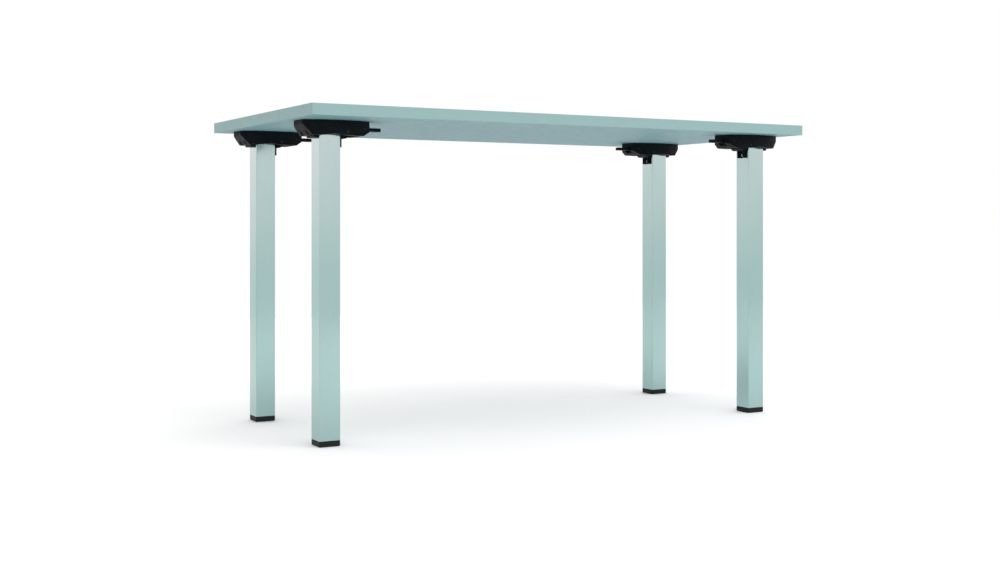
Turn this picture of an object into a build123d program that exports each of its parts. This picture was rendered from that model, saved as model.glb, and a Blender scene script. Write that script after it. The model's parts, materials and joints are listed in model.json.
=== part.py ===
from build123d import *
import os

# A folding-leg table: a laminated board on four square tube legs. Each leg hangs on a
# cast housing screwed under the board and folds inward along the table's length.
# Millimetres. Origin on the floor under the middle of the board, +X along the length, +Z up.

os.makedirs("parts", exist_ok=True)

# Board
table_length = 1360
table_depth = 680
table_height = 750
board_thickness = 25
laminate_thickness = 0.8
edging_thickness = 2
edging_corner_radius = 3
edging_round = 0.8

# Legs
leg_width = 50
tube_wall = 2
tube_corner_radius = 2.5
tube_inner_radius = 0.6
leg_inset = 95
leg_edge_distance = 98
fold_gap = 10

# Feet
foot_height = 13
foot_chamfer = 2
plug_length = 45
stud_radius = 4
stud_length = 34
stud_anchor = 8
stud_chamfer = 1
insert_chamfer = 1

# Clearances
tube_fit = 0.2
running_fit = 0.05
seat_gap = 0.3

# Leg housing
housing_depth = 33.5
housing_length = 162
housing_width = 100
housing_end_width = 58
housing_corner_radius = 10
housing_offset = 14.5
housing_edge_round = 1.5
outer_face_height = 10
outer_slope = 20
inner_face_height = 22
inner_slope = 19
arch_rise = 3
plate_thickness = 3
plate_ledge = 3
plate_end_wall = 6
plate_corner_radius = 7

# Leg head
pivot_reach = 9
barrel_gap = 1
fold_clearance = 1.5
notch_depth = 4
notch_width = 8
tube_rise = 3
collar_height = 1.5
spigot_length = 50
spigot_wall = 5
spigot_cap = 4
lug_length = 12
lug_height = 5
lug_width = 44
lug_strap = 3
slot_end_gap = 1
slot_side_gap = 1
fork_width = 24
prong_thickness = 3
prong_standoff = 8
prong_length = 25
web_slope = 6
web_depth = 8

# Pivot pin and its bushes
pivot_radius = 3.5
bush_wall = 1
bush_length = 10
bush_flange_radius = 7
bush_side_play = 0.2
pin_recess = 1.2
pin_chamfer = 0.5

# Latch lever
lever_thickness = 8
lever_drop = 2
lever_reach = 36
lever_width = 24
lever_tip_width = 19
lever_tip_radius = 5
lever_arm_width = 20
lever_pin_setback = 15.5
lever_pin_radius = 2.5
lever_boss_radius = 6
lever_arm_gap = 4.5
lever_mouth_gap = 1
boss_gap = 1.25
bay_wall = 5.5
mouth_depth = 11
prong_room = 4

# Catch spring
leaf_thickness = 1.2
leaf_width = 16
leaf_gap = 3
leaf_lift = 1
leaf_room = 8
leaf_drop = 3.8
rivet_radius = 2
rivet_head_radius = 3.4
rivet_head_height = 1.6
rivet_spacing = 12
rivet_edge = 4

# Screws
screw_radius = 2.5
screw_head_radius = 4.4
screw_head_height = 3
screw_bore_gap = 0.1
screw_length = 29
screw_point = 5
screw_point_angle = 20
screw_seat_depth = 12
outer_screw_setback = 16.5
outer_screw_spread = 16
inner_screw_setback = 33.5
inner_screw_wall = 7
head_screw_radius = 2.5
head_screw_head_radius = 4
head_screw_head_height = 2
head_screw_length = 10
head_screw_drop = 17.5
recess_radius = 1.6
recess_sides = 6
recess_depth = 1.4

# Heights and places that follow. The barrel fills the height between the pivot and the
# room that the leaf needs under the roof.
underside = table_height - board_thickness
housing_bottom = underside - housing_depth
roof = underside - plate_thickness
tube_top = housing_bottom + tube_rise
collar_top = tube_top + collar_height
pivot_u = leg_width / 2 + pivot_reach
pivot_z = housing_bottom + pivot_reach - fold_clearance
barrel_radius = roof - leaf_room - leaf_lift - pivot_z
head_width = leg_width - 2 * tube_wall - 2 * tube_fit
slot_width = leg_width + 2 * slot_side_gap
flange_thickness = (slot_width - head_width) / 2 - bush_side_play
outer_end = housing_offset - housing_length / 2
inner_end = housing_offset + housing_length / 2
neck_end = leg_width / 2 - tube_wall + tube_fit
slot_outer = -leg_width / 2 - lug_strap - slot_end_gap
slot_inner = pivot_u + (pivot_z - housing_bottom) + prong_length + prong_room
bay_end = inner_end - bay_wall
mouth_start = inner_end - mouth_depth
leaf_bottom = pivot_z + barrel_radius + leaf_lift
lever_top = leaf_bottom - lever_drop
lever_mid = lever_top - lever_thickness / 2
lever_pin_u = inner_end - lever_pin_setback
lever_arm_end = pivot_u + barrel_radius + lever_arm_gap
mouth_top = lever_top + lever_mouth_gap
bay_floor = lever_mid - lever_boss_radius - boss_gap
cut_margin = 1

# Every corner is the same fitting, turned half a turn at the right-hand end. The legs at
# one end stand a tube's width and a gap across from those at the other, so all four fold flat.
leg_x = table_length / 2 - leg_inset
edge_leg_y = table_depth / 2 - leg_edge_distance
inset_leg_y = edge_leg_y - leg_width - fold_gap
corners = [
    ("front_left", -leg_x, -inset_leg_y, 1),
    ("back_left", -leg_x, edge_leg_y, 1),
    ("back_right", leg_x, inset_leg_y, -1),
    ("front_right", leg_x, -edge_leg_y, -1),
]


def plan(corner, height):
    # Horizontal plane through the leg's axis, its X pointing inward along the table
    name, x, y, inward = corner
    return Plane(origin=(x, y, height), x_dir=(inward, 0, 0), z_dir=(0, 0, 1))


def side(corner, offset=0):
    # Upright plane along the table through the leg's axis, its Y pointing up
    name, x, y, inward = corner
    middle = Plane(origin=(x, y, 0), x_dir=(inward, 0, 0), z_dir=(0, -inward, 0))
    return middle.offset(offset)


def face(corner, distance):
    # Upright plane across the table, looking outward from the table's middle
    name, x, y, inward = corner
    return Plane(
        origin=(x + inward * distance, y, 0), x_dir=(0, inward, 0), z_dir=(inward, 0, 0)
    )


def screw_places():
    # The four board screws of one housing: two through the outer end, two through the cheeks
    outer_u = outer_end + outer_screw_setback
    inner_u = inner_end - inner_screw_setback
    inner_v = slot_width / 2 + inner_screw_wall
    return [
        (outer_u, outer_screw_spread),
        (outer_u, -outer_screw_spread),
        (inner_u, inner_v),
        (inner_u, -inner_v),
    ]


def half_width_at(u):
    # Half the width of the housing's bowed side, at a distance along it
    sagitta = (housing_width - housing_end_width) / 2
    half = housing_length / 2
    radius = (half**2 + sagitta**2) / (2 * sagitta)
    along = u - housing_offset
    return housing_width / 2 - radius + (radius**2 - along**2) ** 0.5


def rivet_places():
    first = bay_end - leaf_gap - rivet_edge
    return [(first, 0), (first - rivet_spacing, 0)]


# ---- Board ----

screw_points = []
for corner in corners:
    name, x, y, inward = corner
    for u, v in screw_places():
        screw_points.append((x + inward * u, y + inward * v))

core_length = table_length - 2 * edging_thickness
core_depth = table_depth - 2 * edging_thickness
core_bottom = underside + laminate_thickness
core_thickness = board_thickness - 2 * laminate_thickness
screw_tip = underside - screw_seat_depth + screw_length

with BuildPart() as top_core:
    with BuildSketch(Plane.XY.offset(core_bottom)):
        Rectangle(core_length, core_depth)
    extrude(amount=core_thickness)
    with BuildSketch(Plane.XY.offset(core_bottom)):
        with Locations(*screw_points):
            Circle(screw_radius + running_fit)
    extrude(amount=screw_tip - core_bottom + cut_margin, mode=Mode.SUBTRACT)
top_core.part.label = "top_core"
export_step(top_core.part, "parts/top_core.step")

with BuildPart() as top_laminate:
    with BuildSketch(Plane.XY.offset(table_height - laminate_thickness)):
        Rectangle(core_length, core_depth)
    extrude(amount=laminate_thickness)
top_laminate.part.label = "top_laminate"
export_step(top_laminate.part, "parts/top_laminate.step")

with BuildPart() as backing_laminate:
    with BuildSketch(Plane.XY.offset(underside)):
        Rectangle(core_length, core_depth)
        with Locations(*screw_points):
            Circle(screw_radius + running_fit, mode=Mode.SUBTRACT)
    extrude(amount=laminate_thickness)
backing_laminate.part.label = "backing_laminate"
export_step(backing_laminate.part, "parts/backing_laminate.step")

with BuildPart() as edge_band:
    with BuildSketch(Plane.XY.offset(underside)):
        RectangleRounded(table_length, table_depth, edging_corner_radius)
    extrude(amount=board_thickness)
    fillet(edge_band.edges().group_by(Axis.Z)[-1], edging_round)
    fillet(edge_band.edges().group_by(Axis.Z)[0], edging_round)
    with BuildSketch(Plane.XY.offset(underside)):
        Rectangle(core_length, core_depth)
    extrude(amount=board_thickness, mode=Mode.SUBTRACT)
edge_band.part.label = "edge_band"
export_step(edge_band.part, "parts/edge_band.step")


# ---- Pieces of one corner ----


def make_housing(corner):
    # Boat-shaped casting, open below for the leg's head, with a bay for the latch lever
    end_half = housing_end_width / 2
    outer_corner = (outer_end, end_half)
    inner_corner = (inner_end, end_half)
    with BuildPart() as housing:
        with BuildSketch(plan(corner, housing_bottom)):
            with BuildLine():
                ThreePointArc(outer_corner, (housing_offset, housing_width / 2), inner_corner)
                Line(inner_corner, (inner_end, -end_half))
                ThreePointArc(
                    (inner_end, -end_half), (housing_offset, -housing_width / 2), (outer_end, -end_half)
                )
                Line((outer_end, -end_half), outer_corner)
            make_face()
            fillet(vertices(), housing_corner_radius)
        extrude(amount=housing_depth)
        # Sloped ends
        slope_top = underside - outer_face_height
        with BuildSketch(side(corner)):
            with BuildLine():
                Polyline(
                    (outer_end, slope_top),
                    (outer_end + outer_slope, housing_bottom),
                    (outer_end + outer_slope, housing_bottom - cut_margin),
                    (outer_end - cut_margin, housing_bottom - cut_margin),
                    (outer_end - cut_margin, slope_top),
                    close=True,
                )
            make_face()
        extrude(amount=housing_width, both=True, mode=Mode.SUBTRACT)
        slope_top = underside - inner_face_height
        with BuildSketch(side(corner)):
            with BuildLine():
                Polyline(
                    (inner_end, slope_top),
                    (inner_end - inner_slope, housing_bottom),
                    (inner_end - inner_slope, housing_bottom - cut_margin),
                    (inner_end + cut_margin, housing_bottom - cut_margin),
                    (inner_end + cut_margin, slope_top),
                    close=True,
                )
            make_face()
        extrude(amount=housing_width, both=True, mode=Mode.SUBTRACT)
        fillet(housing.edges().group_by(Axis.Z)[0], housing_edge_round)
        # Shallow arch in the cheeks beside the leg
        with BuildSketch(side(corner)):
            with BuildLine():
                ThreePointArc(
                    (-neck_end, housing_bottom),
                    ((pivot_u - neck_end) / 2, housing_bottom + arch_rise),
                    (pivot_u, housing_bottom),
                )
                Polyline(
                    (pivot_u, housing_bottom),
                    (pivot_u, housing_bottom - cut_margin),
                    (-neck_end, housing_bottom - cut_margin),
                    (-neck_end, housing_bottom),
                )
            make_face()
        extrude(amount=housing_width, both=True, mode=Mode.SUBTRACT)
        # Slot for the leg's head, bay and mouth for the lever
        with BuildSketch(plan(corner, housing_bottom - cut_margin)):
            with Locations(((slot_outer + slot_inner) / 2, 0)):
                Rectangle(slot_inner - slot_outer, slot_width)
        extrude(amount=roof - housing_bottom + cut_margin, mode=Mode.SUBTRACT)
        with BuildSketch(plan(corner, bay_floor)):
            with Locations(((slot_inner + bay_end) / 2, 0)):
                Rectangle(bay_end - slot_inner, slot_width)
        extrude(amount=roof - bay_floor, mode=Mode.SUBTRACT)
        with BuildSketch(plan(corner, housing_bottom - cut_margin)):
            with Locations(((mouth_start + inner_end + cut_margin) / 2, 0)):
                Rectangle(inner_end + cut_margin - mouth_start, lever_width + 2 * lever_mouth_gap)
        extrude(amount=mouth_top - housing_bottom + cut_margin, mode=Mode.SUBTRACT)
        # Pocket for the base plate
        with BuildSketch(plan(corner, roof)):
            with Locations(((outer_end + inner_end) / 2, 0)):
                RectangleRounded(
                    housing_length - 2 * plate_end_wall + 2 * seat_gap,
                    slot_width + 2 * plate_ledge + 2 * seat_gap,
                    plate_corner_radius + seat_gap,
                )
        extrude(amount=plate_thickness, mode=Mode.SUBTRACT)
        # Pivot bores: wide for the bushes, then close on the pin
        with BuildSketch(side(corner)):
            with Locations((pivot_u, pivot_z)):
                Circle(pivot_radius + bush_wall + running_fit)
        extrude(amount=slot_width / 2 + bush_length, both=True, mode=Mode.SUBTRACT)
        with BuildSketch(side(corner)):
            with Locations((pivot_u, pivot_z)):
                Circle(pivot_radius + running_fit)
            with Locations((lever_pin_u, lever_mid)):
                Circle(lever_pin_radius + running_fit)
        extrude(amount=housing_width, both=True, mode=Mode.SUBTRACT)
        # Board screws: deep counterbores from below
        with BuildSketch(plan(corner, housing_bottom - cut_margin)):
            with Locations(*screw_places()):
                Circle(screw_head_radius + seat_gap)
        extrude(amount=housing_depth - screw_seat_depth + cut_margin, mode=Mode.SUBTRACT)
        with BuildSketch(plan(corner, housing_bottom)):
            with Locations(*screw_places()):
                Circle(screw_radius + screw_bore_gap)
        extrude(amount=housing_depth, mode=Mode.SUBTRACT)
    housing.part.label = f"{corner[0]}_housing"
    export_step(housing.part, f"parts/{corner[0]}_housing.step")


def make_base_plate(corner):
    # Steel plate let into the housing's top, which roofs the slot and carries the catch spring
    with BuildPart() as base_plate:
        with BuildSketch(plan(corner, roof)):
            with Locations(((outer_end + inner_end) / 2, 0)):
                RectangleRounded(
                    housing_length - 2 * plate_end_wall, slot_width + 2 * plate_ledge, plate_corner_radius
                )
            with Locations(*screw_places()[:2]):
                Circle(screw_radius + screw_bore_gap, mode=Mode.SUBTRACT)
            with Locations(*screw_places()[2:]):
                Circle(screw_head_radius + seat_gap, mode=Mode.SUBTRACT)
            with Locations(*rivet_places()):
                Circle(rivet_radius + running_fit, mode=Mode.SUBTRACT)
        extrude(amount=plate_thickness)
    base_plate.part.label = f"{corner[0]}_base_plate"
    export_step(base_plate.part, f"parts/{corner[0]}_base_plate.step")


def make_mounting_screws(corner):
    # Four pan-head wood screws, driven up through the housing into the board
    seat = underside - screw_seat_depth
    with BuildPart() as mounting_screws:
        with BuildSketch(plan(corner, seat)):
            with Locations(*screw_places()):
                Circle(screw_radius)
        extrude(amount=screw_length - screw_point)
        with BuildSketch(plan(corner, seat + screw_length - screw_point)):
            with Locations(*screw_places()):
                Circle(screw_radius)
        extrude(amount=screw_point, taper=screw_point_angle)
        with BuildSketch(plan(corner, seat - screw_head_height)):
            with Locations(*screw_places()):
                Circle(screw_head_radius)
        extrude(amount=screw_head_height)
        with BuildSketch(plan(corner, seat - screw_head_height)):
            with Locations(*screw_places()):
                RegularPolygon(recess_radius, recess_sides)
        extrude(amount=recess_depth, mode=Mode.SUBTRACT)
    mounting_screws.part.label = f"{corner[0]}_mounting_screws"
    export_step(mounting_screws.part, f"parts/{corner[0]}_mounting_screws.step")


def make_pivot_pin(corner):
    half = half_width_at(pivot_u) - pin_recess
    with BuildPart() as pivot_pin:
        with BuildSketch(side(corner, -half)):
            with Locations((pivot_u, pivot_z)):
                Circle(pivot_radius)
        extrude(amount=2 * half)
        chamfer(pivot_pin.edges().filter_by(GeomType.CIRCLE), pin_chamfer)
    pivot_pin.part.label = f"{corner[0]}_pivot_pin"
    export_step(pivot_pin.part, f"parts/{corner[0]}_pivot_pin.step")


def make_lever_pin(corner):
    half = half_width_at(lever_pin_u) - pin_recess
    with BuildPart() as lever_pin:
        with BuildSketch(side(corner, -half)):
            with Locations((lever_pin_u, lever_mid)):
                Circle(lever_pin_radius)
        extrude(amount=2 * half)
        chamfer(lever_pin.edges().filter_by(GeomType.CIRCLE), pin_chamfer)
    lever_pin.part.label = f"{corner[0]}_lever_pin"
    export_step(lever_pin.part, f"parts/{corner[0]}_lever_pin.step")


def make_latch_lever(corner):
    # Flat bar on a cross boss: the handle is pulled down, the inner arm lifts the catch spring
    tip = inner_end + lever_reach
    taper_start = inner_end + cut_margin
    wide = lever_width / 2
    narrow = lever_tip_width / 2
    arm = lever_arm_width / 2
    with BuildPart() as latch_lever:
        with BuildSketch(plan(corner, lever_top - lever_thickness)):
            with BuildLine():
                Polyline(
                    (lever_arm_end, arm),
                    (lever_pin_u, arm),
                    (lever_pin_u + lever_boss_radius, wide),
                    (taper_start, wide),
                    (tip, narrow),
                    (tip, -narrow),
                    (taper_start, -wide),
                    (lever_pin_u + lever_boss_radius, -wide),
                    (lever_pin_u, -arm),
                    (lever_arm_end, -arm),
                    close=True,
                )
            make_face()
        extrude(amount=lever_thickness)
        across = latch_lever.edges().filter_by(Axis.Z).sort_by(Axis.X)
        tip_edges = across[-2:] if corner[3] > 0 else across[:2]
        fillet(tip_edges, lever_tip_radius)
        boss_half = slot_width / 2 - bush_side_play
        with BuildSketch(side(corner, -boss_half)):
            with Locations((lever_pin_u, lever_mid)):
                Circle(lever_boss_radius)
        extrude(amount=2 * boss_half)
        with BuildSketch(side(corner)):
            with Locations((lever_pin_u, lever_mid)):
                Circle(lever_pin_radius + running_fit)
        extrude(amount=slot_width, both=True, mode=Mode.SUBTRACT)
    latch_lever.part.label = f"{corner[0]}_latch_lever"
    export_step(latch_lever.part, f"parts/{corner[0]}_latch_lever.step")


def make_catch_spring(corner):
    # Leaf riveted to the base plate; its bent tip drops into the notch of the leg's barrel
    half = leaf_thickness / 2
    flat_z = roof - half
    run_z = leaf_bottom + half
    tip_z = run_z - leaf_drop
    root_start = bay_end - leaf_gap
    root_end = rivet_places()[-1][0] - rivet_head_radius - leaf_gap
    low_start = lever_arm_end + leaf_gap
    vee = notch_width / 2 - leaf_thickness
    with BuildPart() as catch_spring:
        with BuildSketch(side(corner)):
            with BuildLine() as leaf_line:
                Polyline(
                    (root_start, flat_z),
                    (root_end, flat_z),
                    (low_start, run_z),
                    (pivot_u + vee + half, run_z),
                    (pivot_u, tip_z),
                    (pivot_u - vee - half, run_z),
                    (pivot_u - vee - leaf_gap, run_z + half),
                )
                offset(leaf_line.line, amount=half, side=Side.BOTH)
            make_face()
        extrude(amount=leaf_width / 2, both=True)
        with BuildSketch(plan(corner, roof - leaf_thickness)):
            with Locations(*rivet_places()):
                Circle(rivet_radius + running_fit)
        extrude(amount=leaf_thickness, mode=Mode.SUBTRACT)
    catch_spring.part.label = f"{corner[0]}_catch_spring"
    export_step(catch_spring.part, f"parts/{corner[0]}_catch_spring.step")


def make_leg_head(corner):
    # Casting on top of the leg: spigot in the tube, collar, stop lug, barrel and fork
    barrel_top = pivot_z + barrel_radius
    neck_join = barrel_radius / 2
    neck_join_z = pivot_z + (barrel_radius**2 - neck_join**2) ** 0.5
    with BuildPart() as leg_head:
        with BuildSketch(plan(corner, tube_top - spigot_length)):
            Rectangle(head_width, head_width)
        extrude(amount=spigot_length)
        chamfer(leg_head.edges().filter_by(Axis.Z), insert_chamfer)
        with BuildSketch(plan(corner, tube_top)):
            RectangleRounded(leg_width, leg_width, tube_corner_radius)
        extrude(amount=collar_height)
        with BuildSketch(plan(corner, housing_bottom - lug_height)):
            with Locations((-(leg_width + lug_length) / 2, 0)):
                Rectangle(lug_length, lug_width)
        extrude(amount=lug_height)
        with BuildSketch(plan(corner, housing_bottom)):
            with Locations((-(leg_width + lug_strap) / 2, 0)):
                Rectangle(lug_strap, lug_width)
        extrude(amount=collar_top - housing_bottom)
        with BuildSketch(side(corner)):
            with BuildLine():
                Polyline(
                    (-neck_end, tube_top),
                    (-neck_end, collar_top),
                    (pivot_u - neck_join, neck_join_z),
                    (pivot_u, pivot_z),
                    (leg_width / 2, tube_top),
                    close=True,
                )
            make_face()
            with Locations((pivot_u, pivot_z)):
                Circle(barrel_radius)
        extrude(amount=head_width / 2, both=True)
        with BuildSketch(face(corner, leg_width / 2)):
            fork = fork_width / 2
            prong_in = fork - prong_thickness
            web_bottom = housing_bottom - web_depth
            prong_end = housing_bottom - prong_length
            with BuildLine():
                Polyline(
                    (-head_width / 2, housing_bottom),
                    (head_width / 2, housing_bottom),
                    (fork, housing_bottom - web_slope),
                    (fork, prong_end),
                    (prong_in, prong_end),
                    (prong_in, web_bottom),
                    (-prong_in, web_bottom),
                    (-prong_in, prong_end),
                    (-fork, prong_end),
                    (-fork, housing_bottom - web_slope),
                    close=True,
                )
            make_face()
        extrude(amount=prong_standoff)
        # Catch notches: on top when the leg stands, and a quarter turn on for the folded leg
        with BuildSketch(side(corner)):
            with BuildLine():
                Polyline(
                    (pivot_u, barrel_top - notch_depth),
                    (pivot_u + notch_width / 2, barrel_top + cut_margin),
                    (pivot_u - notch_width / 2, barrel_top + cut_margin),
                    close=True,
                )
            make_face()
            with BuildLine():
                Polyline(
                    (pivot_u + barrel_radius - notch_depth, pivot_z),
                    (pivot_u + barrel_radius + cut_margin, pivot_z + notch_width / 2),
                    (pivot_u + barrel_radius + cut_margin, pivot_z - notch_width / 2),
                    close=True,
                )
            make_face()
            with Locations((pivot_u, pivot_z)):
                Circle(pivot_radius + running_fit)
        extrude(amount=slot_width, both=True, mode=Mode.SUBTRACT)
        # Hollow of the spigot
        with BuildSketch(plan(corner, tube_top - spigot_length)):
            Rectangle(head_width - 2 * spigot_wall, head_width - 2 * spigot_wall)
        extrude(amount=spigot_length - spigot_cap, mode=Mode.SUBTRACT)
        # Bore for the screw between the prongs
        with BuildSketch(face(corner, 0)):
            with Locations((0, housing_bottom - head_screw_drop)):
                Circle(head_screw_radius + running_fit)
        extrude(amount=leg_width / 2 + prong_standoff, mode=Mode.SUBTRACT)
    leg_head.part.label = f"{corner[0]}_leg_head"
    export_step(leg_head.part, f"parts/{corner[0]}_leg_head.step")


def make_head_screw(corner):
    # Screw that clamps the tube's inner wall to the spigot, between the prongs
    centre = (0, housing_bottom - head_screw_drop)
    shank_start = leg_width / 2 - head_screw_length
    with BuildPart() as head_screw:
        with BuildSketch(face(corner, shank_start)):
            with Locations(centre):
                Circle(head_screw_radius)
        extrude(amount=head_screw_length)
        with BuildSketch(face(corner, leg_width / 2)):
            with Locations(centre):
                Circle(head_screw_head_radius)
        extrude(amount=head_screw_head_height)
        with BuildSketch(face(corner, leg_width / 2 + head_screw_head_height - recess_depth)):
            with Locations(centre):
                RegularPolygon(recess_radius, recess_sides)
        extrude(amount=recess_depth, mode=Mode.SUBTRACT)
    head_screw.part.label = f"{corner[0]}_head_screw"
    export_step(head_screw.part, f"parts/{corner[0]}_head_screw.step")


def make_leg_tube(corner):
    inner_width = leg_width - 2 * tube_wall
    with BuildPart() as leg_tube:
        with BuildSketch(plan(corner, foot_height)):
            RectangleRounded(leg_width, leg_width, tube_corner_radius)
            RectangleRounded(inner_width, inner_width, tube_inner_radius, mode=Mode.SUBTRACT)
        extrude(amount=tube_top - foot_height)
        # Inner wall cut down for the head's barrel
        notch_bottom = pivot_z - barrel_radius - barrel_gap
        with BuildSketch(face(corner, leg_width / 2)):
            with Locations((0, (notch_bottom + tube_top) / 2)):
                Rectangle(inner_width, tube_top - notch_bottom)
        extrude(amount=-tube_wall - tube_inner_radius, mode=Mode.SUBTRACT)
        with BuildSketch(face(corner, 0)):
            with Locations((0, housing_bottom - head_screw_drop)):
                Circle(head_screw_radius + running_fit)
        extrude(amount=leg_width, mode=Mode.SUBTRACT)
    leg_tube.part.label = f"{corner[0]}_leg_tube"
    export_step(leg_tube.part, f"parts/{corner[0]}_leg_tube.step")


def make_foot_plug(corner):
    # Moulded plug in the end of the tube, bored for the levelling stud
    plug_width = leg_width - 2 * tube_wall - 2 * tube_fit
    with BuildPart() as foot_plug:
        with BuildSketch(plan(corner, foot_height)):
            Rectangle(plug_width, plug_width)
        extrude(amount=plug_length)
        chamfer(foot_plug.edges().filter_by(Axis.Z), insert_chamfer)
        with BuildSketch(plan(corner, foot_height)):
            Circle(stud_radius + running_fit)
        extrude(amount=plug_length, mode=Mode.SUBTRACT)
    foot_plug.part.label = f"{corner[0]}_foot_plug"
    export_step(foot_plug.part, f"parts/{corner[0]}_foot_plug.step")


def make_foot_block(corner):
    # Square foot, as wide as the tube, with the stud's head moulded in
    with BuildPart() as foot_block:
        with BuildSketch(plan(corner, 0)):
            RectangleRounded(leg_width, leg_width, tube_corner_radius)
        extrude(amount=foot_height)
        chamfer(foot_block.faces().sort_by(Axis.Z)[0].edges(), foot_chamfer)
        with BuildSketch(plan(corner, foot_height - stud_anchor)):
            Circle(stud_radius + running_fit)
        extrude(amount=stud_anchor, mode=Mode.SUBTRACT)
    foot_block.part.label = f"{corner[0]}_foot_block"
    export_step(foot_block.part, f"parts/{corner[0]}_foot_block.step")


def make_foot_stud(corner):
    with BuildPart() as foot_stud:
        with BuildSketch(plan(corner, foot_height - stud_anchor)):
            Circle(stud_radius)
        extrude(amount=stud_anchor + stud_length)
        chamfer(foot_stud.edges().filter_by(GeomType.CIRCLE).sort_by(Axis.Z)[-1], stud_chamfer)
    foot_stud.part.label = f"{corner[0]}_foot_stud"
    export_step(foot_stud.part, f"parts/{corner[0]}_foot_stud.step")


for corner in corners:
    make_housing(corner)
    make_base_plate(corner)
    make_mounting_screws(corner)
    make_pivot_pin(corner)
    make_lever_pin(corner)
    make_latch_lever(corner)
    make_catch_spring(corner)
    make_leg_head(corner)
    make_head_screw(corner)
    make_leg_tube(corner)
    make_foot_plug(corner)
    make_foot_block(corner)
    make_foot_stud(corner)

# ---- Small pieces that all four corners share ----

with BuildPart() as pivot_bushes:
    for corner in corners:
        for direction in (1, -1):
            with BuildSketch(side(corner, direction * (slot_width / 2 - flange_thickness))):
                with Locations((pivot_u, pivot_z)):
                    Circle(bush_flange_radius)
                    Circle(pivot_radius + running_fit, mode=Mode.SUBTRACT)
            extrude(amount=direction * flange_thickness)
            with BuildSketch(side(corner, direction * slot_width / 2)):
                with Locations((pivot_u, pivot_z)):
                    Circle(pivot_radius + bush_wall)
                    Circle(pivot_radius + running_fit, mode=Mode.SUBTRACT)
            extrude(amount=direction * (bush_length - seat_gap))
pivot_bushes.part.label = "pivot_bushes"
export_step(pivot_bushes.part, "parts/pivot_bushes.step")

with BuildPart() as spring_rivets:
    for corner in corners:
        with BuildSketch(plan(corner, roof - leaf_thickness)):
            with Locations(*rivet_places()):
                Circle(rivet_radius)
        extrude(amount=leaf_thickness + plate_thickness)
        with BuildSketch(plan(corner, roof - leaf_thickness - rivet_head_height)):
            with Locations(*rivet_places()):
                Circle(rivet_head_radius)
        extrude(amount=rivet_head_height)
spring_rivets.part.label = "spring_rivets"
export_step(spring_rivets.part, "parts/spring_rivets.step")
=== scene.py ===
import bpy
import bmesh
import json
import math
from mathutils import Matrix, Vector


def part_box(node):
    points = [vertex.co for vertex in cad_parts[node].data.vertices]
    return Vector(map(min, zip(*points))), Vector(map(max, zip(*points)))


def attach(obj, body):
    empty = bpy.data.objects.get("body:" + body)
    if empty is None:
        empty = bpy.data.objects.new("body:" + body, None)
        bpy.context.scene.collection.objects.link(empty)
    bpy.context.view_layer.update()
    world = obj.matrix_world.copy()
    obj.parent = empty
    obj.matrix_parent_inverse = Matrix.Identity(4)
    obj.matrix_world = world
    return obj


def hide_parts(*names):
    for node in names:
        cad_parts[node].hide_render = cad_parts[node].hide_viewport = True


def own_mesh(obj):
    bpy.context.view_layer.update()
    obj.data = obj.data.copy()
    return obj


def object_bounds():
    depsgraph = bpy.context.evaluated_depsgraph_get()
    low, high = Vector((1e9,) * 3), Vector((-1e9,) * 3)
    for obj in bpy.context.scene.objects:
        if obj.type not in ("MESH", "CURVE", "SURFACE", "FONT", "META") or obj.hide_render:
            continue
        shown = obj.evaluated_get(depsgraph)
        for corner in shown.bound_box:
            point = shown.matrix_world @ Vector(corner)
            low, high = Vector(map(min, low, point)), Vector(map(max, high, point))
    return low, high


# Folding-leg table: laminated board and four polished square legs that fold under it, each on a
# black housing with a release lever. The CAD frame gives every place and size; this script gives
# the pieces their final shapes and finishes.

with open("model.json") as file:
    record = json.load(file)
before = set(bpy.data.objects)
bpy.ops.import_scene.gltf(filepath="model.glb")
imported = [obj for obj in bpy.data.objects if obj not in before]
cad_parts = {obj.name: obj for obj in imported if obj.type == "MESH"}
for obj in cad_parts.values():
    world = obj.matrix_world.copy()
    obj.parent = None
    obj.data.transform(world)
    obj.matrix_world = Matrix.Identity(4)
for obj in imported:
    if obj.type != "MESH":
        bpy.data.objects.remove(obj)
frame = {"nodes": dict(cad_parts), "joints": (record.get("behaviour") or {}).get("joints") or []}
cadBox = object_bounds()
scene = bpy.context.scene
print("frame loaded:", len(frame["nodes"]), "nodes")

# places read from the frame

cornerNames = ["front_left", "back_left", "back_right", "front_right"]
jointByName = {joint["name"]: joint for joint in frame["joints"]}
weldDistance = 1e-6  # corners of the frame's meshes closer than this are one


def cornerFacts(name):
    low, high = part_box(name + "_leg_tube")
    middle = (low + high) / 2
    inward = -1 if middle.x > 0 else 1  # towards the middle of the table
    return {"name": name, "x": middle.x, "y": middle.y, "inward": inward}


corners = [cornerFacts(name) for name in cornerNames]


def localBox(node):
    # box of a front left node, measured inward (u), across (v) and up (z) from the leg's axis
    low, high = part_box("front_left_" + node)
    shift = Vector((corners[0]["x"], corners[0]["y"], 0))
    return low - shift, high - shift


def solidCentres(node):
    # middle of each separate solid of a front left node, seen from above, always in one order
    bm = bmesh.new()
    bm.from_mesh(frame["nodes"]["front_left_" + node].data)
    bmesh.ops.remove_doubles(bm, verts=bm.verts, dist=weldDistance)
    unseen = set(bm.verts)
    centres = []
    while unseen:
        heap = [unseen.pop()]
        found = []
        while heap:
            vertex = heap.pop()
            found.append(vertex.co.copy())
            for edge in vertex.link_edges:
                other = edge.other_vert(vertex)
                if other in unseen:
                    unseen.remove(other)
                    heap.append(other)
        us = [point.x - corners[0]["x"] for point in found]
        vs = [point.y - corners[0]["y"] for point in found]
        centres.append(((min(us) + max(us)) / 2, (min(vs) + max(vs)) / 2))
    bm.free()
    return sorted(centres)


leverPinZ = jointByName["front_left_lever_pull"]["pos_m"][2]

# mesh helpers

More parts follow.
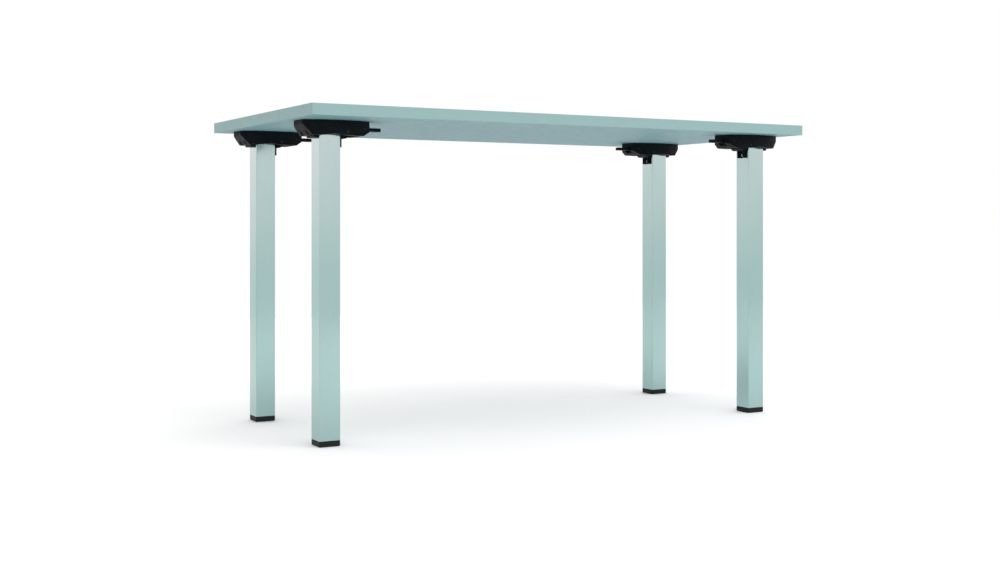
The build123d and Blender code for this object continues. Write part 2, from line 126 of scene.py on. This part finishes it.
shading = {
    "flatAngle": 0.5,  # faces that turn less than this are one flat area
    "sharpAngle": 38,
    "flatWeight": 100,
}


def newPiece(name, bm):
    bmesh.ops.recalc_face_normals(bm, faces=bm.faces)
    mesh = bpy.data.meshes.new(name)
    bm.to_mesh(mesh)
    bm.free()
    piece = bpy.data.objects.new(name, mesh)
    scene.collection.objects.link(piece)
    return piece


def ringSolid(name, rings):
    # closed solid lofted through rings of points, capped at both ends
    bm = bmesh.new()
    loops = [[bm.verts.new(point) for point in ring] for ring in rings]
    for lower, upper in zip(loops, loops[1:]):
        for i in range(len(lower)):
            j = (i + 1) % len(lower)
            bm.faces.new((lower[i], lower[j], upper[j], upper[i]))
    bm.faces.new(loops[0][::-1])
    bm.faces.new(loops[-1])
    return newPiece(name, bm)


def turnedSolid(name, profile, count=40):
    # solid of revolution about Z from (radius, height) points, lowest first
    turn = 2 * math.pi / count
    return ringSolid(name, [
        [(radius * math.cos(i * turn), radius * math.sin(i * turn), height) for i in range(count)]
        for radius, height in profile
    ])


def squareRing(half, radius, height, steps=5):
    # square with rounded corners, flat at one height
    ring = []
    corner = (half - radius) * math.sqrt(2)
    for quarter in range(4):
        middle = math.pi / 2 * quarter + math.pi / 4
        for i in range(steps + 1):
            angle = math.pi / 2 * (quarter + i / steps)
            ring.append((
                corner * math.cos(middle) + radius * math.cos(angle),
                corner * math.sin(middle) + radius * math.sin(angle),
                height,
            ))
    return ring


def moved(piece, place, turn=0, axis="Y"):
    piece.data.transform(Matrix.Translation(place) @ Matrix.Rotation(turn, 4, axis))
    return piece


def joined(name, pieces):
    bm = bmesh.new()
    for piece in pieces:
        bm.from_mesh(piece.data)
        bpy.data.objects.remove(piece)
    return newPiece(name, bm)


def settle(piece):
    # put the modifiers into the mesh
    bpy.context.view_layer.update()
    view = bpy.context.evaluated_depsgraph_get()
    mesh = bpy.data.meshes.new_from_object(piece.evaluated_get(view))
    piece.modifiers.clear()
    old = piece.data
    piece.data = mesh
    bpy.data.meshes.remove(old)
    return piece


def carve(piece, cutters):
    for cutter in cutters:
        change = piece.modifiers.new("carve", "BOOLEAN")
        change.operation = "DIFFERENCE"
        change.solver = "EXACT"
        change.object = cutter
        settle(piece)
        bpy.data.objects.remove(cutter)
    return piece


def soften(piece, width, segments=3, angle=30):
    bevel = piece.modifiers.new("soften", "BEVEL")
    bevel.width = width
    bevel.segments = segments
    bevel.limit_method = "ANGLE"
    bevel.angle_limit = math.radians(angle)
    bevel.use_clamp_overlap = True
    return settle(piece)


def cornerBlank(node):
    # the frame's own front left shape, brought to the leg's axis, with one face for each flat area
    bm = bmesh.new()
    bm.from_mesh(frame["nodes"]["front_left_" + node].data)
    bmesh.ops.remove_doubles(bm, verts=bm.verts, dist=weldDistance)
    flat = math.radians(shading["flatAngle"])
    bmesh.ops.dissolve_limit(bm, angle_limit=flat, verts=bm.verts, edges=bm.edges)
    bmesh.ops.translate(bm, verts=bm.verts, vec=(-corners[0]["x"], -corners[0]["y"], 0))
    return newPiece(node, bm)


def placeAtCorners(piece, node, body, material):
    # the same shape at all four corners, half a turn round at the right-hand end
    placed = []
    for corner in corners:
        turn = 0 if corner["inward"] > 0 else math.pi
        shift = Matrix.Translation((corner["x"], corner["y"], 0))
        mesh = piece.data.copy()
        mesh.transform(shift @ Matrix.Rotation(turn, 4, "Z"))
        mesh.materials.clear()
        mesh.materials.append(material)
        mesh.shade_smooth()
        mesh.set_sharp_from_angle(angle=math.radians(shading["sharpAngle"]))
        copy = bpy.data.objects.new(corner["name"] + "_" + node + "_shape", mesh)
        scene.collection.objects.link(copy)
        # large flat faces keep their own direction, so long tubes mirror straight
        evenOut = copy.modifiers.new("evenOut", "WEIGHTED_NORMAL")
        evenOut.mode = "FACE_AREA"
        evenOut.weight = shading["flatWeight"]
        evenOut.keep_sharp = True
        settle(copy)
        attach(copy, corner["name"] + "_" + body if body else "top")
        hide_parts(corner["name"] + "_" + node)
        placed.append(copy)
    bpy.data.objects.remove(piece)
    return placed


# material helpers


def newMaterial(name):
    material = bpy.data.materials.new(name)
    material.use_nodes = True
    tree = material.node_tree
    shader = tree.nodes["Principled BSDF"]
    where = tree.nodes.new("ShaderNodeTexCoord").outputs["Object"]
    return material, tree, shader, where


def noise(tree, where, scale, detail=4, roughness=0.5, stretch=(1, 1, 1)):
    mapping = tree.nodes.new("ShaderNodeMapping")
    mapping.inputs["Scale"].default_value = stretch
    tree.links.new(where, mapping.inputs["Vector"])
    texture = tree.nodes.new("ShaderNodeTexNoise")
    texture.inputs["Scale"].default_value = scale
    texture.inputs["Detail"].default_value = detail
    texture.inputs["Roughness"].default_value = roughness
    tree.links.new(mapping.outputs["Vector"], texture.inputs["Vector"])
    return texture.outputs["Fac"]


def ramp(tree, value, stops):
    node = tree.nodes.new("ShaderNodeValToRGB")
    elements = node.color_ramp.elements
    while len(elements) < len(stops):
        elements.new(0.5)
    for element, (place, colour) in zip(elements, stops):
        element.position = place
        element.color = (*colour, 1)
    tree.links.new(value, node.inputs["Fac"])
    return node.outputs["Color"]


def spread(tree, value, low, high, fromLow=0.3, fromHigh=0.7):
    node = tree.nodes.new("ShaderNodeMapRange")
    node.inputs["From Min"].default_value = fromLow
    node.inputs["From Max"].default_value = fromHigh
    node.inputs["To Min"].default_value = low
    node.inputs["To Max"].default_value = high
    tree.links.new(value, node.inputs["Value"])
    return node.outputs["Result"]


def mixColour(tree, factor, first, second):
    node = tree.nodes.new("ShaderNodeMix")
    node.data_type = "RGBA"
    chosen = zip((node.inputs[0], node.inputs[6], node.inputs[7]), (factor, first, second))
    for socket, value in chosen:
        if isinstance(value, bpy.types.NodeSocket):
            tree.links.new(value, socket)
        elif isinstance(value, (int, float)):
            socket.default_value = value
        else:
            socket.default_value = (*value, 1)
    return node.outputs[2]


def bump(tree, shader, height, strength, distance):
    node = tree.nodes.new("ShaderNodeBump")
    node.inputs["Strength"].default_value = strength
    node.inputs["Distance"].default_value = distance
    tree.links.new(height, node.inputs["Height"])
    tree.links.new(node.outputs["Normal"], shader.inputs["Normal"])


rubbedEdge = {
    "reach": 0.0012,
    "samples": 4,
    "worn": 0.86,  # how far the normal has to lean for full wear
    "whole": 0.99,
}


def edgeWear(tree):
    # one on the edges and nought on flat faces, from how far a rounded normal leans away
    rounded = tree.nodes.new("ShaderNodeBevel")
    rounded.samples = rubbedEdge["samples"]
    rounded.inputs["Radius"].default_value = rubbedEdge["reach"]
    flat = tree.nodes.new("ShaderNodeNewGeometry")
    lean = tree.nodes.new("ShaderNodeVectorMath")
    lean.operation = "DOT_PRODUCT"
    tree.links.new(rounded.outputs["Normal"], lean.inputs[0])
    tree.links.new(flat.outputs["Normal"], lean.inputs[1])
    return spread(tree, lean.outputs["Value"], 1, 0, rubbedEdge["worn"], rubbedEdge["whole"])


# finishes

boardFinish = {
    "face": (0.26, 0.42, 0.42),
    # the backing's colour is painted darker than the face's: painted shade for the board's
    # underside
    "backing": (0.19, 0.335, 0.36),
    "edge": (0.275, 0.425, 0.42),
    "flecked": 0.86,  # how dark the print's fine grain goes
    "cloud": 0.35,  # how much of the cloudy tone shows
    "clouded": 0.92,
    "roughness": (0.42, 0.56),
    "gloss": 0.1,
    "grainScale": 900,
    "cloudScale": 5,
    "smearScale": 60,
    "pearlScale": 1500,
    "pearl": 0.12,
    "pearlDepth": 0.0002,
}


def laminateFinish(name, colour):
    # satin laminate: fine print grain, a soft cloudiness and a pearl texture
    material, tree, shader, where = newMaterial(name)
    grain = noise(tree, where, boardFinish["grainScale"], 2, 0.7)
    fleck = tuple(c * boardFinish["flecked"] for c in colour)
    tone = mixColour(tree, spread(tree, grain, 0, 1), colour, fleck)
    cloud = spread(tree, noise(tree, where, boardFinish["cloudScale"], 3), 0, boardFinish["cloud"])
    tone = mixColour(tree, cloud, tone, tuple(c * boardFinish["clouded"] for c in colour))
    tree.links.new(tone, shader.inputs["Base Color"])
    smears = noise(tree, where, boardFinish["smearScale"], 5)
    tree.links.new(spread(tree, smears, *boardFinish["roughness"]), shader.inputs["Roughness"])
    shader.inputs["Specular IOR Level"].default_value = boardFinish["gloss"]
    pearl = noise(tree, where, boardFinish["pearlScale"], 2)
    bump(tree, shader, pearl, boardFinish["pearl"], boardFinish["pearlDepth"])
    return material


coreFinish = {
    "chipScale": 220,
    "tones": [(0.1, (0.30, 0.20, 0.10)), (0.9, (0.62, 0.47, 0.28))],
    "roughness": 0.85,
    "chipBump": 0.4,
    "chipDepth": 0.0006,
}


def particleBoard():
    # pressed chips in glue, hidden inside the board
    material, tree, shader, where = newMaterial("particleBoard")
    chips = tree.nodes.new("ShaderNodeTexVoronoi")
    chips.inputs["Scale"].default_value = coreFinish["chipScale"]
    tree.links.new(where, chips.inputs["Vector"])
    tone = ramp(tree, chips.outputs["Color"], coreFinish["tones"])
    tree.links.new(tone, shader.inputs["Base Color"])
    shader.inputs["Roughness"].default_value = coreFinish["roughness"]
    bump(tree, shader, chips.outputs["Distance"], coreFinish["chipBump"], coreFinish["chipDepth"])
    return material


blackFinish = {
    "deep": (0.0028, 0.0048, 0.0062),
    "dusty": (0.0045, 0.0078, 0.0098),
    "worn": (0.02, 0.027, 0.03),
    "gloss": 0.06,
    "dustScale": 35,
    "rubScale": 120,
    "smearScale": 90,
    "skin": 0.25,
    "skinDepth": 0.0003,
}


def blackCoat(name, roughness, grain, wear):
    # powder coat on a casting: orange-peel skin, faint dust and edges rubbed a little lighter
    material, tree, shader, where = newMaterial(name)
    dust = spread(tree, noise(tree, where, blackFinish["dustScale"], 4), 0, 1)
    tone = mixColour(tree, dust, blackFinish["deep"], blackFinish["dusty"])
    patches = spread(tree, noise(tree, where, blackFinish["rubScale"], 3), 0, wear)
    rub = tree.nodes.new("ShaderNodeMath")
    rub.operation = "MULTIPLY"
    tree.links.new(edgeWear(tree), rub.inputs[0])
    tree.links.new(patches, rub.inputs[1])
    tone = mixColour(tree, rub.outputs[0], tone, blackFinish["worn"])
    tree.links.new(tone, shader.inputs["Base Color"])
    smears = noise(tree, where, blackFinish["smearScale"], 4)
    tree.links.new(spread(tree, smears, *roughness), shader.inputs["Roughness"])
    shader.inputs["Specular IOR Level"].default_value = blackFinish["gloss"]
    skin = noise(tree, where, grain, 3)
    bump(tree, shader, skin, blackFinish["skin"], blackFinish["skinDepth"])
    return material


chromeFinish = {
    "clear": (0.362, 0.515, 0.5),
    "hazy": (0.338, 0.488, 0.476),
    "roughness": (0.08, 0.14),
    "hazeScale": 6,
    "hazeStretch": (1, 1, 0.5),
    "lineScale": 260,
    "lineStretch": (1, 1, 0.01),
    "lineRoughness": (-0.02, 0.03),
    "drawLines": 0.03,
    "lineDepth": 0.0002,
}


def polishedTube():
    # polished tube: faint draw lines along its length, a little haze and handling marks
    material, tree, shader, where = newMaterial("polishedTube")
    shader.inputs["Metallic"].default_value = 1
    haze = noise(tree, where, chromeFinish["hazeScale"], 4, 0.6, chromeFinish["hazeStretch"])
    lines = noise(tree, where, chromeFinish["lineScale"], 2, 0.5, chromeFinish["lineStretch"])
    hazy = spread(tree, haze, 0, 1)
    tone = mixColour(tree, hazy, chromeFinish["clear"], chromeFinish["hazy"])
    tree.links.new(tone, shader.inputs["Base Color"])
    marks = tree.nodes.new("ShaderNodeMath")
    tree.links.new(spread(tree, haze, *chromeFinish["roughness"]), marks.inputs[0])
    tree.links.new(spread(tree, lines, *chromeFinish["lineRoughness"]), marks.inputs[1])
    tree.links.new(marks.outputs[0], shader.inputs["Roughness"])
    bump(tree, shader, lines, chromeFinish["drawLines"], chromeFinish["lineDepth"])
    return material


fineGrain = {
    "steelTone": 150,
    "steelScratch": 500,
    "steelPlate": 1200,
    "plasticTone": 45,
    "plasticSmear": 200,
    "plasticSkin": 1000,
}


def steelFinish(name, colour, dark, roughness, metallic=1.0):
    # plated or blackened steel: fine scratches and a slightly uneven plate
    material, tree, shader, where = newMaterial(name)
    shader.inputs["Metallic"].default_value = metallic
    patches = spread(tree, noise(tree, where, fineGrain["steelTone"], 4), 0, 1)
    scratches = noise(tree, where, fineGrain["steelScratch"], 3)
    tree.links.new(mixColour(tree, patches, colour, dark), shader.inputs["Base Color"])
    tree.links.new(spread(tree, scratches, *roughness), shader.inputs["Roughness"])
    bump(tree, shader, noise(tree, where, fineGrain["steelPlate"], 2), 0.08, 0.0001)
    return material


def mouldedPlastic(name, colour, shade, roughness, gloss=0.4):
    # moulded part with a faint flow in its colour and a fine skin
    material, tree, shader, where = newMaterial(name)
    flow = spread(tree, noise(tree, where, fineGrain["plasticTone"], 4), 0, 1)
    smears = noise(tree, where, fineGrain["plasticSmear"], 3)
    tree.links.new(mixColour(tree, flow, colour, shade), shader.inputs["Base Color"])
    tree.links.new(spread(tree, smears, *roughness), shader.inputs["Roughness"])
    shader.inputs["Specular IOR Level"].default_value = gloss
    bump(tree, shader, noise(tree, where, fineGrain["plasticSkin"], 2), 0.1, 0.0002)
    return material


castingBlack = blackCoat("castingBlack", (0.42, 0.6), 420, 0.35)
headBlack = blackCoat("headBlack", (0.36, 0.52), 380, 0.35)
leverBlack = blackCoat("leverBlack", (0.3, 0.45), 700, 0.6)
footBlack = mouldedPlastic(
    "footBlack", (0.008, 0.0125, 0.012), (0.005, 0.008, 0.008), (0.5, 0.68), 0.2)
tubeChrome = polishedTube()
zincSteel = steelFinish("zincSteel", (0.5, 0.52, 0.53), (0.4, 0.42, 0.43), (0.28, 0.42))
blackSteel = steelFinish(
    "blackSteel", (0.03, 0.031, 0.033), (0.015, 0.016, 0.017), (0.38, 0.5), 0.8)
springSteel = steelFinish("springSteel", (0.2, 0.22, 0.24), (0.13, 0.15, 0.18), (0.25, 0.38))
nylon = mouldedPlastic("nylon", (0.62, 0.6, 0.54), (0.54, 0.52, 0.46), (0.4, 0.5))
plugGrey = mouldedPlastic("plugGrey", (0.2, 0.25, 0.26), (0.16, 0.2, 0.21), (0.45, 0.55))
print("finishes made")

nodeFinish = {
    "top_core": particleBoard(),
    "top_laminate": laminateFinish("boardFace", boardFinish["face"]),
    # the backing laminate carries painted shade: its colour is set darker than the face's to stand
    # for the shade under the board
    "backing_laminate": laminateFinish("boardBackingPaintedShade", boardFinish["backing"]),
    "edge_band": laminateFinish("boardEdge", boardFinish["edge"]),
    "pivot_bushes": nylon,
    "spring_rivets": zincSteel,
}
cornerFinish = {
    "base_plate": zincSteel,
    "mounting_screws": zincSteel,
    "pivot_pin": blackSteel,
    "lever_pin": blackSteel,
    "catch_spring": springSteel,
    "head_screw": zincSteel,
    "foot_plug": plugGrey,
    "foot_stud": zincSteel,
    "leg_tube": tubeChrome,
    "housing": castingBlack,
    "latch_lever": leverBlack,
    "leg_head": headBlack,
    "foot_block": footBlack,
}
for corner in corners:
    for node, material in cornerFinish.items():
        nodeFinish[corner["name"] + "_" + node] = material
for node, material in nodeFinish.items():
    mesh = frame["nodes"][node].data
    mesh.materials.clear()
    mesh.materials.append(material)
print("frame nodes finished")

# housings

housing = {
    "edgeRound": 0.0007,
    "slot": "casting_black",
}


def makeHousings():
    # boat-shaped casting with its slot, bay and bores, every edge eased as a die casting's is
    piece = soften(cornerBlank("housing"), housing["edgeRound"], 2)
    placeAtCorners(piece, "housing", None, castingBlack)


# release levers

lever = {
    "thickness": 0.008,
    "edgeRound": 0.0009,
    "grooves": 5,
    "grooveRadius": 0.0011,
    "grooveDepth": 0.0005,
    "groovePitch": 0.0034,
    "grooveSetback": 0.008,  # from the tip to the first groove
    "cutterHalf": 0.02,
    "cutterSides": 20,
    "slot": "lever_black",
}


def makeLevers():
    # flat bar on its boss, with finger grooves across the underside of the tip
    tip = localBox("latch_lever")[1].x
    radius = lever["grooveRadius"]
    profile = [(radius, -lever["cutterHalf"]), (radius, lever["cutterHalf"])]
    tipBottom = leverPinZ - lever["thickness"] / 2
    cutters = []
    for i in range(lever["grooves"]):
        inward = tip - lever["grooveSetback"] - i * lever["groovePitch"]
        place = (inward, 0, tipBottom + lever["grooveDepth"] - radius)
        groove = turnedSolid("groove", profile, lever["cutterSides"])
        cutters.append(moved(groove, place, math.pi / 2, "X"))
    piece = carve(soften(cornerBlank("latch_lever"), lever["edgeRound"], 3), cutters)
    placeAtCorners(piece, "latch_lever", "lever", leverBlack)


# catch springs

catchSpring = {
    "edgeRound": 0.0002,
    "pressed": 0.74,  # share of its height left under the plate when the lever is pulled
    "slot": "spring_steel",
}


def makeCatchSprings():
    # bent leaf that the lever's arm presses up to its plate, out of the barrel's notch
    piece = soften(cornerBlank("catch_spring"), catchSpring["edgeRound"], 2)
    springs = placeAtCorners(piece, "catch_spring", None, springSteel)
    for corner, spring in zip(corners, springs):
        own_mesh(spring)


# leg heads

legHead = {
    "edgeRound": 0.0006,
    "slot": "casting_black",
}


def makeLegHeads():
    # casting in the tube's top: collar, stop lug, barrel, web and fork, edges eased
    piece = soften(cornerBlank("leg_head"), legHead["edgeRound"], 2)
    placeAtCorners(piece, "leg_head", "leg", headBlack)


# leg tubes

legTube = {
    "endRound": 0.0003,
    "slot": "chrome_tube",
}


def makeLegTubes():
    # drawn square tube, its cut ends broken by the polishing wheel
    piece = soften(cornerBlank("leg_tube"), legTube["endRound"], 2, 50)
    placeAtCorners(piece, "leg_tube", "leg", tubeChrome)


# feet

foot = {
    "cornerRadius": 0.0025,
    "shadowGroove": 0.0006,  # how deep the line below the tube is
    "grooveHeight": 0.0012,
    "lip": 0.0008,
    "soleInset": 0.0028,
    "soleRound": 0.002,
    "roundSteps": 5,
    "slot": "foot_plastic",
}


def makeFeet():
    # square moulded foot: thin lip under the tube, shadow line, upright sides and a rounded sole
    low, high = localBox("foot_block")
    half = high.x
    top = high.z
    grooveTop = top - foot["lip"]
    grooveBottom = grooveTop - foot["grooveHeight"]
    inner = half - foot["shadowGroove"]
    radius = foot["cornerRadius"]
    rings = [squareRing(half - foot["soleInset"], radius, low.z)]
    for i in range(1, foot["roundSteps"] + 1):
        angle = math.pi / 2 * i / foot["roundSteps"]
        out = half - foot["soleRound"] * (1 - math.sin(angle))
        rings.append(squareRing(out, radius, low.z + foot["soleRound"] * (1 - math.cos(angle))))
    for width, height in (
        (half, grooveBottom),
        (inner, grooveBottom + foot["shadowGroove"] / 2),
        (inner, grooveTop - foot["shadowGroove"] / 2),
        (half, grooveTop),
        (half, top),
    ):
        rings.append(squareRing(width, radius, height))
    placeAtCorners(ringSolid("foot", rings), "foot_block", "foot", footBlack)


# levelling studs

stud = {
    "pitch": 0.00125,
    "threadDepth": 0.0006,
    "slot": "zinc_plated_steel",
}


threadCrest = (0.45, 0.55)  # where the ridge starts and ends along one pitch


def threadProfile(radius, depth, pitch, low, high):
    # zigzag of ridges and valleys from low to high
    profile = []
    height = low
    while height + pitch <= high:
        profile.append((radius - depth, height))
        profile += [(radius, height + pitch * share) for share in threadCrest]
        height += pitch
    return profile + [(radius - depth, height)]


def makeStuds():
    # threaded stud that the foot turns on
    low, high = localBox("foot_stud")
    depth, pitch = stud["threadDepth"], stud["pitch"]
    profile = [(high.x - depth, low.z)]
    profile += threadProfile(high.x, depth, pitch, low.z + pitch, high.z - pitch)
    profile.append((high.x - 2 * depth, high.z))
    placeAtCorners(turnedSolid("stud", profile), "foot_stud", "foot", zincSteel)


# screws

screw = {
    "headRadius": 0.0044,
    "headHeight": 0.003,
    "clampHeadHeight": 0.002,
    "shank": 0.0025,
    "threadDepth": 0.0005,
    "pitch": 0.0018,
    "tip": 0.2,  # share of the shank's radius left at the point
    "sides": 36,
    "crown": 0.72,  # share of the head's radius that is flat on top
    "dome": 0.62,  # share of the head's height that the dome takes
    "domeSteps": 5,
    "rim": 0.0002,
    "threadStart": 0.0001,
    "socket": 0.0018,
    "socketDepth": 0.0014,
    "socketSides": 6,
    "socketStart": 0.001,  # the cutter begins this far outside the head
    "slot": "zinc_plated_steel",
}


def domedScrew(headRadius, headHeight, length):
    # pan-head screw standing on its head's underside at zero, its head below and its shank above
    crown, shank, hole = screw["crown"], screw["shank"], screw["socket"]
    profile = [(headRadius * crown, -headHeight)]
    for i in range(1, screw["domeSteps"] + 1):
        angle = math.pi / 2 * i / screw["domeSteps"]
        profile.append((
            headRadius * (crown + (1 - crown) * math.sin(angle)),
            -headHeight + headHeight * screw["dome"] * (1 - math.cos(angle)),
        ))
    profile += [(headRadius, -screw["rim"]), (headRadius - screw["rim"], 0)]
    start, end = screw["threadStart"], length - shank * 2
    profile += threadProfile(shank, screw["threadDepth"], screw["pitch"], start, end)
    profile.append((shank * screw["tip"], length))
    body = turnedSolid("screw", profile, screw["sides"])
    outside, bottom = -headHeight - screw["socketStart"], -headHeight + screw["socketDepth"]
    socket = turnedSolid("socket", [(hole, outside), (hole, bottom)], screw["socketSides"])
    return carve(body, [socket])


def makeMountingScrews():
    # four to a housing, driven up into the board; places come from the four separate heads
    low, high = localBox("mounting_screws")
    seat = low.z + screw["headHeight"]
    screws = []
    for u, v in solidCentres("mounting_screws"):
        one = domedScrew(screw["headRadius"], screw["headHeight"], high.z - seat)
        screws.append(moved(one, (u, v, seat)))
    piece = joined("mountingScrews", screws)
    placeAtCorners(piece, "mounting_screws", None, zincSteel)


def makeHeadScrews():
    # one between the prongs of each head, clamping the tube to the spigot
    low, high = localBox("head_screw")
    seat = high.x - screw["clampHeadHeight"]
    one = domedScrew((high.z - low.z) / 2, screw["clampHeadHeight"], seat - low.x)
    piece = moved(one, (seat, 0, (low.z + high.z) / 2), -math.pi / 2, "Y")
    placeAtCorners(piece, "head_screw", "leg", zincSteel)


makeHousings()
makeLevers()
makeCatchSprings()
makeLegHeads()
makeLegTubes()
print("castings, levers and tubes shaped")
makeFeet()
makeStuds()
makeMountingScrews()
makeHeadScrews()
print("feet and screws shaped")

# studio

studio = {
    "floorSize": 7.0,
    "floorCells": 24,
    "floorDrop": 0.0005,
    "paper": (0.9, 0.9, 0.9),
    "paperShade": (0.885, 0.885, 0.885),
    "paperRoughness": 0.9,
    "lowTone": (1.0, 1.02, 1.02),
    "wallTone": (1.52, 1.27, 1.3),  # the band just above the floor line, which the tubes mirror
    "skyTone": (1.32, 1.32, 1.32),
    "wallStart": (-0.04, 0.06),  # heights on a ball round the table, from -1 to 1
    "skyStart": (0.12, 0.3),
    "leftTone": 0.05,
    "leftEdge": (-0.8, -0.68),
    "leftFoot": (0.07, 0.15),  # below this the left side is as bright as the rest
    "backdrop": (1.0, 1.0, 1.0),
}


def makeFloor():
    bm = bmesh.new()
    cells = studio["floorCells"]
    bmesh.ops.create_grid(bm, x_segments=cells, y_segments=cells, size=studio["floorSize"] / 2)
    floor = newPiece("studioFloor", bm)
    floor.location.z = cadBox[0].z - studio["floorDrop"]
    material, tree, shader, where = newMaterial("studioPaper")
    shade = spread(tree, noise(tree, where, 3), 0, 1)
    tone = mixColour(tree, shade, studio["paper"], studio["paperShade"])
    tree.links.new(tone, shader.inputs["Base Color"])
    shader.inputs["Roughness"].default_value = studio["paperRoughness"]
    floor.data.materials.append(material)


def makeWorld():
    # white room with a tinted band above the floor line and a dark side past the left-hand end
    world = bpy.data.worlds.new("studioWorld")
    scene.world = world
    world.use_nodes = True
    tree = world.node_tree
    way = tree.nodes.new("ShaderNodeTexCoord").outputs["Generated"]
    split = tree.nodes.new("ShaderNodeSeparateXYZ")
    tree.links.new(way, split.inputs["Vector"])
    rise = spread(tree, split.outputs["Z"], 0, 1, *studio["wallStart"])
    tone = mixColour(tree, rise, studio["lowTone"], studio["wallTone"])
    above = spread(tree, split.outputs["Z"], 0, 1, *studio["skyStart"])
    tone = mixColour(tree, above, tone, studio["skyTone"])
    left = spread(tree, split.outputs["X"], studio["leftTone"], 1, *studio["leftEdge"])
    low = spread(tree, split.outputs["Z"], 1, 0, *studio["leftFoot"])
    brighter = tree.nodes.new("ShaderNodeMath")
    brighter.operation = "MAXIMUM"
    tree.links.new(left, brighter.inputs[0])
    tree.links.new(low, brighter.inputs[1])
    back = tree.nodes["Background"]
    tree.links.new(tone, back.inputs["Color"])
    tree.links.new(brighter.outputs[0], back.inputs["Strength"])
    # the camera itself sees a plain white backdrop from every side
    seen = tree.nodes.new("ShaderNodeLightPath").outputs["Is Camera Ray"]
    plain = tree.nodes.new("ShaderNodeBackground")
    plain.inputs["Color"].default_value = (*studio["backdrop"], 1)
    choose = tree.nodes.new("ShaderNodeMixShader")
    tree.links.new(seen, choose.inputs["Fac"])
    tree.links.new(back.outputs[0], choose.inputs[1])
    tree.links.new(plain.outputs[0], choose.inputs[2])
    tree.links.new(choose.outputs[0], tree.nodes["World Output"].inputs["Surface"])


topLight = {
    "place": (0.4, -1.6, 3.2),
    "target": (0, 0, 0.6),
    "size": (2.6, 1.8),
    "power": 20,
}


def makeTopLight():
    data = bpy.data.lights.new("topLight", "AREA")
    data.shape = "RECTANGLE"
    data.size, data.size_y = topLight["size"]
    data.energy = topLight["power"]
    light = bpy.data.objects.new("topLight", data)
    scene.collection.objects.link(light)
    light.location = topLight["place"]
    way = Vector(topLight["target"]) - Vector(topLight["place"])
    light.rotation_euler = way.to_track_quat("-Z", "Y").to_euler()


makeFloor()
makeWorld()
makeTopLight()
print("studio made")

# camera: low, from the front left, upright with a small rise of the lens

view = {
    "place": (-1.688, -2.926, 0.502),
    "turn": 29.47,
    "lens": 47.18,
    "sensor": 36.0,
    "rise": -0.0603,
    "farthest": 50,
}


def makeCamera():
    data = bpy.data.cameras.new("camera")
    data.lens = view["lens"]
    data.sensor_width = view["sensor"]
    data.shift_y = view["rise"]
    data.clip_end = view["farthest"]
    camera = bpy.data.objects.new("camera", data)
    scene.collection.objects.link(camera)
    camera.location = view["place"]
    camera.rotation_euler = (math.radians(90), 0, math.radians(-view["turn"]))
    scene.camera = camera


makeCamera()
scene.view_settings.view_transform = "Standard"
print("camera made")
